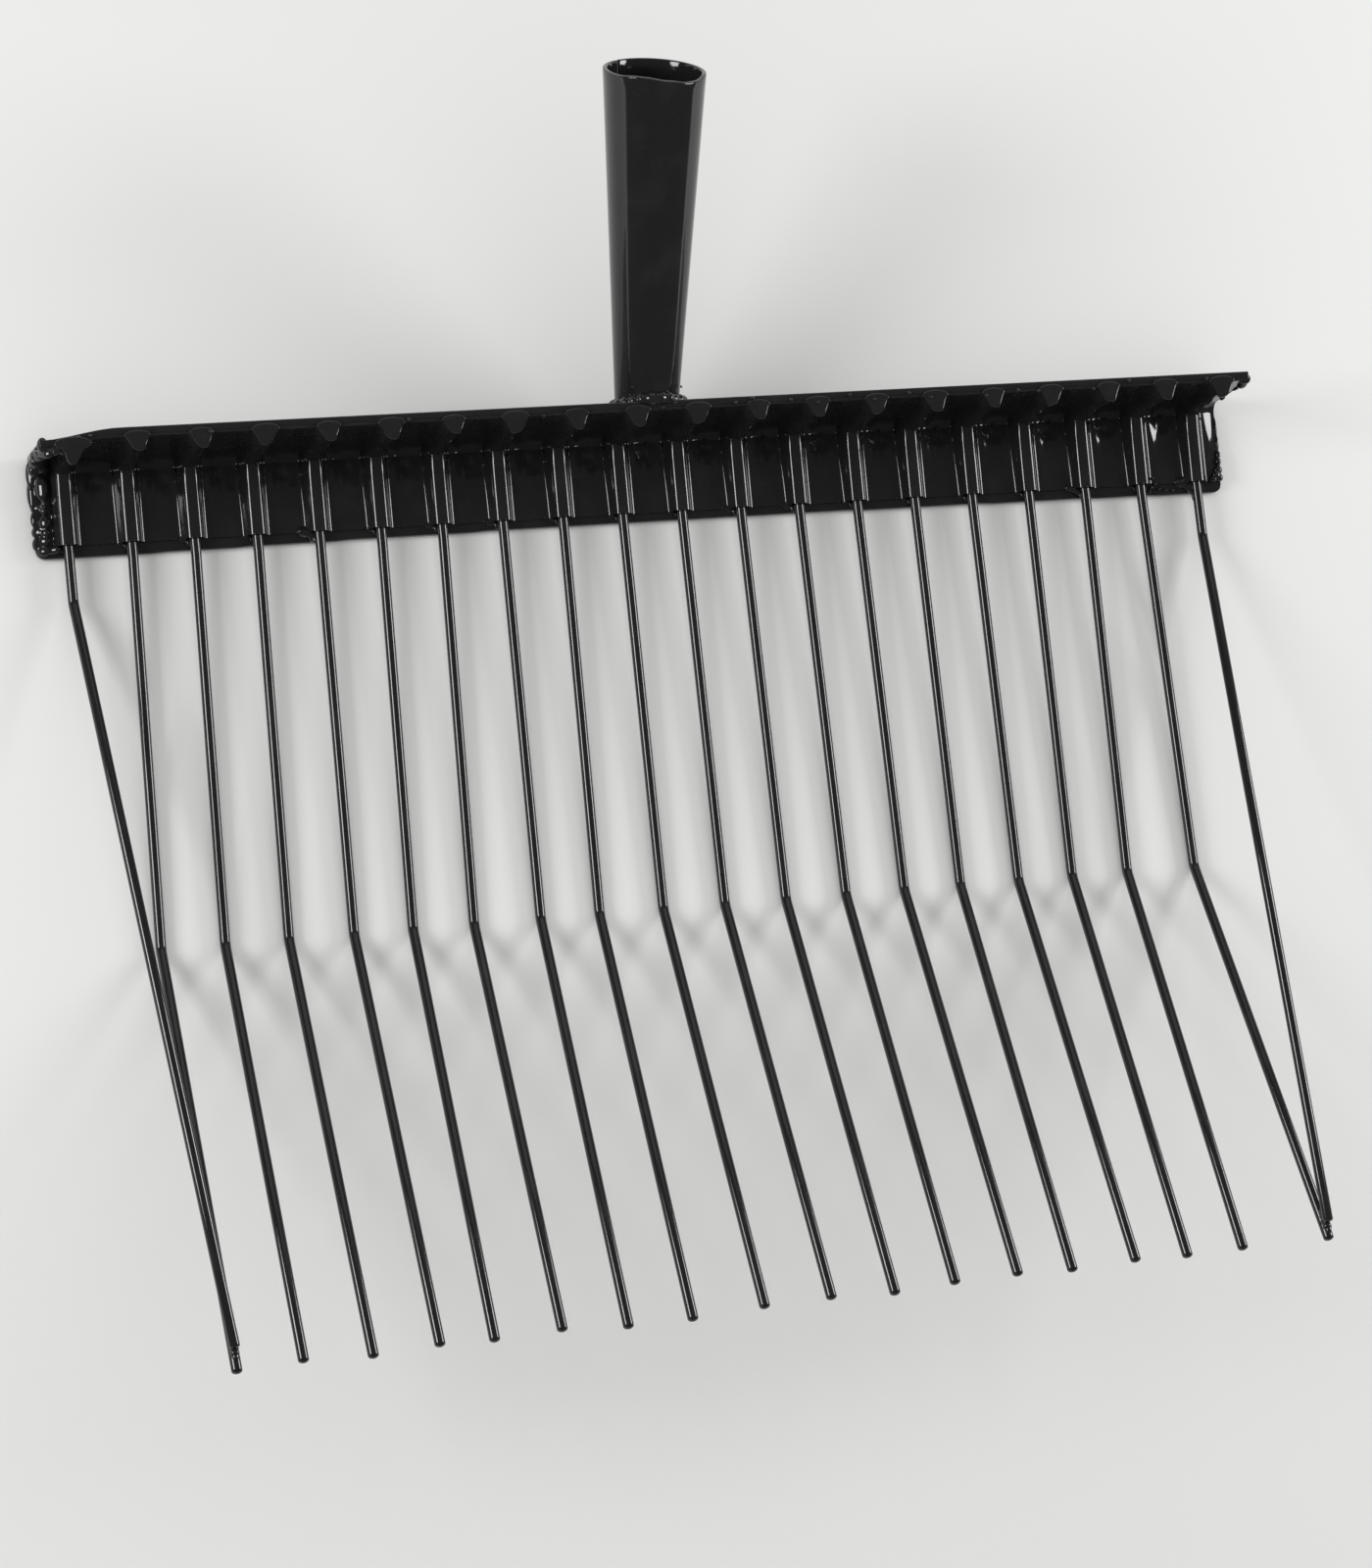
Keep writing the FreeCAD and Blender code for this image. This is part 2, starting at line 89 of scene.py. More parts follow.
def start_piece(name):
    """Bake the new primitive's place into its mesh, name it and open it for editing."""
    bpy.ops.object.transform_apply(location=True, rotation=True, scale=True)
    bpy.context.object.name = name
    bpy.context.object.data.name = name
    bpy.ops.object.mode_set(mode="EDIT")


def choose(test, kind="VERT"):
    """Select the vertices, edges or faces whose middle passes the test."""
    bpy.ops.mesh.select_mode(type=kind)
    bpy.ops.mesh.select_all(action="DESELECT")
    mesh = bmesh.from_edit_mesh(bpy.context.object.data)
    if kind == "VERT":
        for vertex in mesh.verts:
            vertex.select_set(test(vertex.co))
    elif kind == "EDGE":
        for edge in mesh.edges:
            edge.select_set(test((edge.verts[0].co + edge.verts[1].co) / 2))
    else:
        for face in mesh.faces:
            face.select_set(test(face.calc_center_median()))
    mesh.select_flush_mode()
    bmesh.update_edit_mesh(bpy.context.object.data)


def push(x=0, y=0, z=0):
    """Extrude what is selected by a straight step."""
    bpy.ops.mesh.extrude_region_move(TRANSFORM_OT_translate={"value": (x, y, z)})


def turn(angle, centre, axis, steps):
    """Carry what is selected round an axis, right-handed, leaving a skin behind it."""
    bpy.ops.mesh.spin(steps=steps, angle=-angle, center=centre, axis=axis)


def face_outwards(sample, outwards):
    """Merge doubles and make the skin's faces agree, with the face nearest sample looking outwards."""
    bpy.ops.mesh.select_all(action="SELECT")
    bpy.ops.mesh.remove_doubles(threshold=0.005 * mm)
    bpy.ops.mesh.normals_make_consistent(inside=False)
    mesh = bmesh.from_edit_mesh(bpy.context.object.data)
    nearest = min(mesh.faces, key=lambda face: (face.calc_center_median() - Vector(sample)).length)
    if nearest.normal.dot(Vector(outwards)) < 0:
        bpy.ops.mesh.flip_normals()


def apply_modifier(kind, **settings):
    """Give the active piece one modifier and apply it at once."""
    modifier = bpy.context.object.modifiers.new(kind.title(), kind)
    for name, value in settings.items():
        setattr(modifier, name, value)
    bpy.ops.object.modifier_apply(modifier=modifier.name)


def finish_piece(piece, slot, material, *nodes):
    """Hand a finished piece its paint, its body and the CAD nodes that it stands for; the slot is not used."""
    piece.data.materials.clear()
    piece.data.materials.append(material)
    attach(piece, "root")
    if nodes:
        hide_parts(*nodes)
    piece.select_set(False)


def paint_film_group():
    """Dipped gloss paint: a slightly uneven film, and dust caught in it."""
    group = bpy.data.node_groups.new("Paint film", "ShaderNodeTree")
    for name, value in (("Ripple size", 9.0), ("Ripple depth", 0.05), ("Peel size", 1.2), ("Peel depth", 0.02),
                        ("Dust", 0.3), ("Gloss spread", 0.08)):
        socket = group.interface.new_socket(name, in_out="INPUT", socket_type="NodeSocketFloat")
        socket.default_value = value
    group.interface.new_socket("Paint colour", in_out="INPUT", socket_type="NodeSocketColor")
    group.interface.new_socket("Dust colour", in_out="INPUT", socket_type="NodeSocketColor")
    group.interface.new_socket("Colour", in_out="OUTPUT", socket_type="NodeSocketColor")
    group.interface.new_socket("Roughness", in_out="OUTPUT", socket_type="NodeSocketFloat")
    group.interface.new_socket("Height", in_out="OUTPUT", socket_type="NodeSocketFloat")
    nodes, link = group.nodes, group.links.new
    entry = nodes.new("NodeGroupInput")
    leave = nodes.new("NodeGroupOutput")
    place = nodes.new("ShaderNodeTexCoord").outputs["Object"]

    def maths(operation, first, second):
        """One sum of two sockets or numbers."""
        node = nodes.new("ShaderNodeMath")
        node.operation = operation
        for index, value in enumerate((first, second)):
            if isinstance(value, (int, float)):
                node.inputs[index].default_value = value
            else:
                link(value, node.inputs[index])
        return node.outputs[0]

    def grain(size, detail):
        """Noise whose blots are about size millimetres across."""
        node = nodes.new("ShaderNodeTexNoise")
        node.inputs["Detail"].default_value = detail
        link(place, node.inputs["Vector"])
        link(maths("DIVIDE", 1 / mm, size), node.inputs["Scale"])
        return node.outputs["Fac"]

    ripple = grain(entry.outputs["Ripple size"], 1.5)
    peel = grain(entry.outputs["Peel size"], 2.0)
    height = maths("ADD", maths("MULTIPLY", ripple, entry.outputs["Ripple depth"]),
                   maths("MULTIPLY", peel, entry.outputs["Peel depth"]))
    link(height, leave.inputs["Height"])

    # Single specks of dust, and cloudy patches where it settled
    specks = nodes.new("ShaderNodeTexVoronoi")
    specks.inputs["Scale"].default_value = 0.35 / mm
    link(place, specks.inputs["Vector"])
    speck = nodes.new("ShaderNodeMapRange")
    speck.inputs["From Min"].default_value = 0.13
    speck.inputs["From Max"].default_value = 0.05
    link(specks.outputs["Distance"], speck.inputs["Value"])
    cloudy = nodes.new("ShaderNodeMapRange")
    cloudy.inputs["From Min"].default_value = 0.5
    cloudy.inputs["From Max"].default_value = 0.75
    link(grain(entry.outputs["Ripple size"], 4.0), cloudy.inputs["Value"])
    settled = maths("ADD", maths("MULTIPLY", speck.outputs[0], 0.6), maths("MULTIPLY", cloudy.outputs[0], 0.35))
    dust = maths("MULTIPLY", settled, entry.outputs["Dust"])
    mix = nodes.new("ShaderNodeMix")
    mix.data_type = "RGBA"
    link(dust, mix.inputs["Factor"])
    link(entry.outputs["Paint colour"], mix.inputs["A"])
    link(entry.outputs["Dust colour"], mix.inputs["B"])
    link(mix.outputs["Result"], leave.inputs["Colour"])
    shine = maths("ADD", entry.outputs["Gloss spread"], maths("MULTIPLY", dust, 0.5))
    link(maths("ADD", shine, maths("MULTIPLY", peel, 0.03)), leave.inputs["Roughness"])
    return group


paint_film = paint_film_group()
gloss_black = (0.0125, 0.0125, 0.013)
dust_grey = (0.12, 0.11, 0.10)


def black_paint(name, ripple_size, ripple_depth, peel_size, peel_depth, dust, gloss):
    """One material of gloss black paint on steel, with its waves and its orange peel in millimetres."""
    material = bpy.data.materials.new(name)
    material.use_nodes = True
    nodes, link = material.node_tree.nodes, material.node_tree.links.new
    shader = nodes["Principled BSDF"]
    shader.inputs["IOR"].default_value = 1.5
    film = nodes.new("ShaderNodeGroup")
    film.node_tree = paint_film
    for socket, value in (("Ripple size", ripple_size), ("Ripple depth", ripple_depth), ("Peel size", peel_size),
                          ("Peel depth", peel_depth), ("Dust", dust), ("Gloss spread", gloss)):
        film.inputs[socket].default_value = value
    film.inputs["Paint colour"].default_value = (*gloss_black, 1)
    film.inputs["Dust colour"].default_value = (*dust_grey, 1)
    bump = nodes.new("ShaderNodeBump")
    bump.inputs["Distance"].default_value = mm
    link(film.outputs["Height"], bump.inputs["Height"])
    link(film.outputs["Colour"], shader.inputs["Base Color"])
    link(film.outputs["Roughness"], shader.inputs["Roughness"])
    link(bump.outputs["Normal"], shader.inputs["Normal"])
    return material


backing_paint = black_paint("Backing paint", ripple_size=11, ripple_depth=0.05, peel_size=1.4, peel_depth=0.004,
                            dust=0.15, gloss=0.07)

bpy.ops.object.select_all(action="DESELECT")
bpy.ops.mesh.primitive_grid_add(x_subdivisions=plate_columns, y_subdivisions=1, size=1,
                                location=(0, (plate_edge + plate_top - plate_bend) / 2, 0))
bpy.context.object.scale = (2 * head_half, plate_top - plate_bend - plate_edge, 1)
start_piece("backing_plate")
choose(lambda at: at.y < 0 and abs(at.x) > head_half - mm)
bpy.ops.mesh.bevel(offset=plate_corner, segments=6, affect="VERTICES")
# The front edge has sprung inwards, most of all near its middle
for reach in bow_reaches:
    choose(lambda at: at.y < plate_edge + 1.4 * mm and abs(at.x - bow_middle) < reach)
    bpy.ops.transform.translate(value=(0, bow_step, 0))
choose(lambda at: at.y > plate_top - plate_bend - 0.1 * mm, "EDGE")
turn(math.radians(90), (0, plate_top - plate_bend, plate_bend), (1, 0, 0), 10)
push(z=flange_front - plate_bend)
face_outwards((0, 0, 0), (0, 0, -1))
knock_flange_corner()
bpy.ops.object.mode_set(mode="OBJECT")
apply_modifier("SOLIDIFY", thickness=plate, offset=-1)
apply_modifier("BEVEL", width=edge_round, segments=2, limit_method="ANGLE", angle_limit=math.radians(40))
bpy.ops.object.shade_smooth_by_angle(angle=math.radians(35))
finish_piece(bpy.context.object, "backing_paint", backing_paint, "backing_angle")


# Ribbed cover. Thin sheet pressed into an L with one round-backed rib over every wire, so that it grips all
# twenty wires against the backing. Each rib runs down the leg, round the inside of the fold and out along
# the flange, and a spot weld between the ribs holds the sheet down just under the fold.
pitch = 22 * mm
tine_count = 20
cover_edge = -13 * mm
cover_face = 3.5 * mm
cover_sheet = 1 * mm
crown_level = 7.65 * mm
crown_half = 0.9 * mm
shoulder_radius = 2.1 * mm
fillets = {1: 1.7 * mm, -1: 1.3 * mm}
foot_half = 5.3 * mm
flat_steps = 5
leg_steps = (10, 5, 3, 1, 1, 1, 1, 1)
flange_steps = (3, 2, 3, 4, 6)
rib_climb = math.radians(3.8)
climb_left = -2.4 * mm
climb_right = 5.4 * mm
climb_blend = 5.2 * mm
swell_reach = 7 * mm
swell_in = 0.6 * mm
swell_up = 0.32 * mm
fold_middle = Vector((0, 11.9 * mm, 7.7 * mm))
spot_up = 8 * mm
spot_reach = 2.4 * mm
spot_depth = 0.3 * mm
cover_paint = black_paint("Cover paint", ripple_size=12, ripple_depth=0.03, peel_size=1.6, peel_depth=0.003,
                          dust=0.15, gloss=0.05)

first_rib = -(tine_count - 1) / 2 * pitch
crown_top = Vector((first_rib, cover_edge, crown_level))
bpy.ops.mesh.primitive_circle_add(vertices=4, radius=crown_half, location=crown_top - Vector((0, 0, crown_half)),
                                  rotation=(math.radians(90), 0, 0))
start_piece("cover_sheet")
choose(lambda at: at.z < crown_level - 0.5 * crown_half)
bpy.ops.mesh.delete(type="VERT")
shoulder_level = crown_level - shoulder_radius
for side, fillet_radius in fillets.items():
    over = foot_half - crown_half
    drop = shoulder_level - cover_face - fillet_radius
    wall = math.sqrt(over ** 2 + drop ** 2 - (shoulder_radius + fillet_radius) ** 2)
    round_over = math.pi / 2 + math.atan2(drop, over) - math.atan2(wall, shoulder_radius + fillet_radius)
    choose(lambda at: (at - crown_top).length < 0.01 * mm)
    push(x=side * crown_half)
    turn(side * round_over, (first_rib + side * crown_half, cover_edge, shoulder_level), (0, 1, 0), 9)
    push(x=side * wall * math.cos(round_over), z=-wall * math.sin(round_over))
    turn(-side * round_over, (first_rib + side * foot_half, cover_edge, cover_face + fillet_radius), (0, 1, 0), 7)
    for step in range(flat_steps):
        push(x=side * (pitch / 2 - foot_half) / flat_steps)
choose(lambda at: True, "EDGE")
for step in leg_steps:
    push(y=step * mm)
push(y=fold_middle.y - cover_edge - sum(leg_steps) * mm)
turn(math.radians(90), fold_middle, (1, 0, 0), 12)
for step in flange_steps:
    push(z=step * mm)
push(z=flange_front - fold_middle.z - sum(flange_steps) * mm)
face_outwards((first_rib + 9 * mm, cover_edge, cover_face), (0, 0, 1))

# The rib climbs a little towards the fold, and its crown swells where it turns up the flange
choose(lambda at: climb_left < at.x - first_rib < climb_right and at.z < 9.5 * mm)
bpy.ops.transform.rotate(value=-rib_climb, orient_axis="X", center_override=(first_rib, cover_edge, cover_face),
                         use_proportional_edit=True, proportional_edit_falloff="SMOOTH",
                         proportional_size=climb_blend)
choose(lambda at: abs(at.x - first_rib) < crown_half + 0.1 * mm and abs(at.y - fold_middle.y) < 0.7 * mm
       and 9.2 * mm < at.z < 10.4 * mm)
pull(swell_reach, y=-swell_in, z=swell_up)
bpy.ops.object.mode_set(mode="OBJECT")
apply_modifier("ARRAY", count=tine_count, use_relative_offset=False, use_constant_offset=True,
               constant_offset_displace=(pitch, 0, 0), use_merge_vertices=True, merge_threshold=0.02 * mm)

# Where each spot weld's dimple sits, sideways and up the leg, as shares of the pitch from the middle of its gap
spot_shares = ((0.02, 0), (0.10, -0.03), (-0.04, 0.02), (0, 0), (0.04, 0.02), (-0.02, 0.03), (0.05, 0.01),
               (0, 0.02), (0.03, 0), (-0.05, 0.02), (0.02, 0.04), (0.04, 0.02), (-0.03, 0.03), (0, 0.02),
               (0.05, 0.04), (0.02, 0.02), (-0.02, 0.03), (0.04, 0), (0, 0.03))
bpy.ops.object.mode_set(mode="EDIT")
for gap, (sideways, up) in enumerate(spot_shares):
    spot = Vector((first_rib + (gap + 0.5 + sideways) * pitch, spot_up + up * pitch, cover_face))
    choose(lambda at: (at - spot).length < 0.9 * mm)
    pull(spot_reach, z=-spot_depth)
knock_flange_corner()
bpy.ops.object.mode_set(mode="OBJECT")
apply_modifier("SOLIDIFY", thickness=cover_sheet, offset=-1)
bpy.ops.object.shade_smooth_by_angle(angle=math.radians(40))
finish_piece(bpy.context.object, "cover_paint", cover_paint, "ribbed_cover")


# Tines. Twenty lengths of 3.7 mm hard wire, each bent sharply under the flange, led out of its rib and
# cranked once at the knee. The two outer ones are guards, bent out just below the cover and laid across
# onto the tips of their neighbours.
wire_radius = 1.85 * mm
wire_level = 4.65 * mm
wire_flange = 14.95 * mm
knee_y = -155.2 * mm
knee_z = 1.859 * mm
exit_y = -19 * mm
climb = math.radians(26.57)
lower_length = 160.6 * mm
flange_bend = 1.95 * mm
exit_bend = 20 * mm
knee_bend = 9 * mm

# Where each wire's knee and tip stand aside of its root, and how much longer its lower run is, in shares of the pitch
knee_shares = (-0.12, -0.11, -0.10, -0.06, -0.11, -0.12, -0.03, -0.06, 0,
               0.03, 0.06, 0.08, 0.08, 0.05, 0.06, 0, -0.03, 0.16)
tip_shares = (-0.07, -0.07, -0.03, -0.01, -0.18, -0.13, -0.12, -0.11, 0.04,
              0.11, 0.12, 0.11, 0.14, 0.03, 0.09, -0.05, -0.11, 0.35)
length_shares = (0.13, 0.07, 0.12, 0.05, 0.07, 0.02, 0.09, 0.08, 0,
                 -0.03, 0.01, -0.06, -0.09, -0.06, -0.11, -0.09, -0.12, -0.13)

# How the tip is worn: each short step of its end, and how far the ring shrinks there
worn_steps = ((0.30, 0.93), (0.25, 0.84), (0.25, 0.62), (0.20, 0.35))
worn_share = 0.55
tine_paint = black_paint("Tine paint", ripple_size=14, ripple_depth=0.02, peel_size=1.5, peel_depth=0.002,
                         dust=0.2, gloss=0.05)


def root_place(index):
    """How far to the right of the head's middle a wire is rooted, counted from the left."""
    return (index - (tine_count + 1) / 2) * pitch


def knee_and_tip(index):
    """The knee and the tip of one full-length wire, counted from the left."""
    share = index - 2
    root = root_place(index)
    knee = Vector((root + knee_shares[share] * pitch, knee_y, knee_z))
    run = lower_length + length_shares[share] * pitch
    tip = knee + Vector((0, -math.cos(climb), math.sin(climb))) * run
    tip.x = root + tip_shares[share] * pitch
    return knee, tip


def bent_wire(name, corners, bends):
    """A ring pushed along each run of the wire and turned round each bend, then closed to a worn tip."""
    here = corners[0]
    along = (corners[1] - here).normalized()
    bpy.ops.mesh.primitive_circle_add(vertices=20, radius=wire_radius, location=here,
                                      rotation=along.to_track_quat("Z", "Y").to_euler())
    start_piece(name)
    bpy.ops.mesh.select_all(action="SELECT")
    bpy.ops.mesh.edge_face_add()
    for before, corner, after, radius in zip(corners, corners[1:], corners[2:], bends):
        along = (corner - before).normalized()
        onwards = (after - corner).normalized()
        bend = along.angle(onwards)
        axis = along.cross(onwards).normalized()
        start = corner - along * radius * math.tan(bend / 2)
        push(*(start - here))
        steps = max(2, round(math.degrees(bend) / 5))
        turn(bend, start + axis.cross(along) * radius, axis, steps)
        here = corner + onwards * radius * math.tan(bend / 2)
        along = onwards
    worn = worn_share * wire_radius
    push(*(corners[-1] - along * worn - here))
    here = corners[-1] - along * worn
    for rise, shrink in worn_steps:
        here = here + along * worn * rise
        push(*(along * worn * rise))
        bpy.ops.transform.resize(value=(shrink, shrink, shrink), center_override=here)
    bpy.ops.mesh.select_all(action="SELECT")
    bpy.ops.mesh.normals_make_consistent(inside=False)
    bpy.ops.object.mode_set(mode="OBJECT")
    bpy.ops.object.shade_smooth_by_angle(angle=math.radians(50))
    return bpy.context.object


def gripped_stretch(root):
    """The two ends of the wire's hidden stretch, from the flange's front down into the fold."""
    return [Vector((root, wire_flange, flange_front - 0.1 * mm)), Vector((root, wire_flange, wire_level))]


for index in range(2, tine_count):
    root = root_place(index)
    corners = gripped_stretch(root) + [Vector((root, exit_y, wire_level)), *knee_and_tip(index)]
    piece = bent_wire("wire_%02d" % index, corners, (flange_bend, exit_bend, knee_bend))
    finish_piece(piece, "tine_paint", tine_paint, "tine_%02d" % index)

guard_bend_y = -33.6 * mm
guard_bend = 9 * mm
guard_rise = 3.9 * mm
off_wire = Vector((0, math.sin(climb), math.cos(climb)))
guard_ends = {}
for index, beside, setback in ((1, 2, 7 * mm), (tine_count, tine_count - 1, 5 * mm)):
    root = root_place(index)
    knee, tip = knee_and_tip(beside)
    run = (tip - knee).normalized()
    guard_tip = tip - run * setback + off_wire * guard_rise
    guard_ends[index] = (guard_tip, run)
    corners = gripped_stretch(root) + [Vector((root, guard_bend_y, wire_level)), guard_tip]
    piece = bent_wire("wire_%02d" % index, corners, (flange_bend, guard_bend))
    finish_piece(piece, "tine_paint", tine_paint, "tine_%02d" % index)


# Handle socket. Steel sheet rolled into a taper with an open seam at the back, cut at a slant and welded to
# the flange. Its mouth is a little askew, with a worn, rounded rim, and the wooden handle is driven into it.
socket_lean = math.radians(28.8)
socket_foot = Vector((-4 * mm, plate_top, 26.4 * mm))
socket_axis = Vector((0, math.cos(socket_lean), math.sin(socket_lean)))
socket_root = 12 * mm
socket_length = 121 * mm
base_radius = 11.2 * mm
mouth_radius = 17.95 * mm
socket_wall = 1.6 * mm
rim_round = 0.5 * mm
tube_reaches = (25 * mm, 60 * mm, 95 * mm, 113 * mm, 117 * mm, 128 * mm)
mouth_slant = math.radians(2.5)
seam_angle = math.radians(35)
seam_side = Vector((-math.sin(seam_angle), math.cos(seam_angle) * math.sin(socket_lean),
                    -math.cos(seam_angle) * math.cos(socket_lean)))
socket_paint = black_paint("Socket paint", ripple_size=14, ripple_depth=0.06, peel_size=1.6, peel_depth=0.004,
                           dust=0.15, gloss=0.06)

flare = (mouth_radius - base_radius) / socket_length
here = -socket_root
bpy.ops.object.select_all(action="DESELECT")
bpy.ops.mesh.primitive_circle_add(vertices=120, radius=base_radius + flare * here,
                                  location=socket_foot + socket_axis * here,
                                  rotation=socket_axis.to_track_quat("Z", "Y").to_euler())
start_piece("socket_tube")
seam_spot = socket_foot + socket_axis * here + seam_side * (base_radius + flare * here)
circle = bmesh.from_edit_mesh(bpy.context.object.data)
slit_gap = min(((edge.verts[0].co + edge.verts[1].co) / 2 - seam_spot).length for edge in circle.edges)
choose(lambda at: (at - seam_spot).length < slit_gap + 0.01 * mm, "EDGE")
bpy.ops.mesh.delete(type="EDGE_FACE")
bpy.ops.mesh.select_mode(type="EDGE")
bpy.ops.mesh.select_all(action="SELECT")
for reach in tube_reaches:
    wider = (base_radius + flare * reach) / (base_radius + flare * here)
    push(*(socket_axis * (reach - here)))
    bpy.ops.transform.resize(value=(wider, wider, wider), center_override=socket_foot + socket_axis * reach)
    here = reach
mouth = socket_foot + socket_axis * socket_length
bpy.ops.mesh.select_all(action="SELECT")
bpy.ops.mesh.bisect(plane_co=mouth, clear_outer=True,
                    plane_no=socket_axis * math.cos(mouth_slant) - seam_side * math.sin(mouth_slant))
bpy.ops.mesh.select_all(action="SELECT")
bpy.ops.mesh.bisect(plane_co=socket_foot, plane_no=(0, 1, 0), clear_inner=True)

# The rim's near side waves: it stands up on the left and dips on the right, as the sheet was cut
near_side = Vector((0, -math.sin(socket_lean), math.cos(socket_lean)))
for sideways, stretch in ((-9 * mm, 0.8 * mm), (10 * mm, -0.9 * mm)):
    choose(lambda at: (at - mouth).dot(near_side) > 8 * mm and (at - mouth).dot(socket_axis) > -1.5 * mm
           and abs(at.x - mouth.x - sideways) < 2 * mm)
    pull(8 * mm, y=stretch * socket_axis.y, z=stretch * socket_axis.z)
face_outwards(socket_foot + socket_axis * 60 * mm + Vector((14 * mm, 0, 0)), (1, 0, 0))
bpy.ops.object.mode_set(mode="OBJECT")
apply_modifier("SOLIDIFY", thickness=socket_wall, offset=-1)
apply_modifier("BEVEL", width=rim_round, segments=3, limit_method="ANGLE", angle_limit=math.radians(40))
bpy.ops.object.shade_smooth_by_angle(angle=math.radians(35))
finish_piece(bpy.context.object, "socket_paint", socket_paint, "handle_socket")


# Wire-end welds. Each rib's open end on the flange is closed with a drop of weld metal that holds the wire's
# end and hangs over the front edge. They are laid by hand, so no two drops are the same.
drop_half = 4.7 * mm
drop_back = 0.36
drop_hang = 3.9 * mm
drop_lean = 1.5 * mm
drip_run = 0.5 * mm
drop_thickness = 1.1 * mm
weld_paint = black_paint("Weld paint", ripple_size=4, ripple_depth=0.05, peel_size=1.2, peel_depth=0.004,
                         dust=0.1, gloss=0.04)


def weld_beads(name, beads, grain, calm, tilt=0):
    """Drops of molten metal that ran together, each with its place and its three half widths in millimetres."""
    bpy.ops.object.select_all(action="DESELECT")
    for count, (place, widths) in enumerate(beads):
        bpy.ops.mesh.primitive_ico_sphere_add(subdivisions=3, radius=mm, location=Vector(place) * mm,
                                              scale=widths, rotation=(0, math.radians(tilt), 0))
        if count == 0:
            start_piece(name)
    bpy.ops.object.mode_set(mode="OBJECT")
    apply_modifier("REMESH", mode="VOXEL", voxel_size=grain * mm)
    apply_modifier("SMOOTH", factor=0.5, iterations=calm)
    bpy.ops.object.shade_smooth()
    return bpy.context.object


# Each drop's width, its hang, how far its drip leans and how far it runs on, as shares of the usual
drop_shares = (
    (1.35, 1.15, -0.30, 1.3), (0.95, 0.92, 0.20, 0.7), (0.90, 0.95, 0.10, 0.9), (1.05, 0.90, -0.15, 1.0),
    (0.92, 0.95, 0.15, 0.8), (1.02, 1.00, 0.00, 1.1), (0.90, 0.88, 0.25, 0.7), (1.08, 0.98, -0.20, 0.9),
    (0.94, 1.00, 0.10, 1.0), (1.00, 1.02, 0.05, 0.8), (1.05, 0.97, -0.10, 1.1), (0.92, 0.95, 0.20, 0.9),
    (1.00, 0.93, 0.10, 0.8), (0.96, 0.98, -0.10, 1.0), (1.04, 1.02, 0.15, 0.9), (0.90, 0.98, 0.05, 0.8),
    (1.00, 1.00, -0.15, 1.1), (0.96, 0.97, 0.10, 0.9), (1.02, 1.03, 0.00, 0.8), (1.05, 1.04, -0.10, 1.0))
for index, (width, hang, lean, run_on) in enumerate(drop_shares, 1):
    root = root_place(index)
    drop_middle = (14.7 if index == 1 else 16.6) * mm
    bpy.ops.object.select_all(action="DESELECT")
    bpy.ops.mesh.primitive_circle_add(vertices=40, radius=drop_half * width, fill_type="NGON",
                                      location=(root, drop_middle, flange_front - 0.3 * mm))
    bpy.context.object.scale = (1, drop_back, 1)
    start_piece("wire_end_weld_%02d" % index)
    choose(lambda at: at.y < drop_middle and abs(at.x - root) < 1.9 * mm)
    pull(3.0 * mm, x=drop_lean * lean, y=-drop_hang * hang)
    choose(lambda at: at.y < drop_middle - 4.5 * mm and (at.x - root) * (lean + 0.01) > 0)
    pull(1.5 * mm, y=-drip_run * run_on)
    choose(lambda at: True)
    push(z=drop_thickness)
    bpy.ops.mesh.inset(thickness=0.5 * mm, depth=0.14 * mm)
    face_outwards((root, drop_middle, flange_front + mm), (0, 0, 1))
    bpy.ops.object.mode_set(mode="OBJECT")
    apply_modifier("BEVEL", width=0.3 * mm, segments=3, limit_method="ANGLE", angle_limit=math.radians(50))
    bpy.ops.object.shade_smooth_by_angle(angle=math.radians(60))
    finish_piece(bpy.context.object, "weld_paint", weld_paint, "edge_weld_%02d" % index)


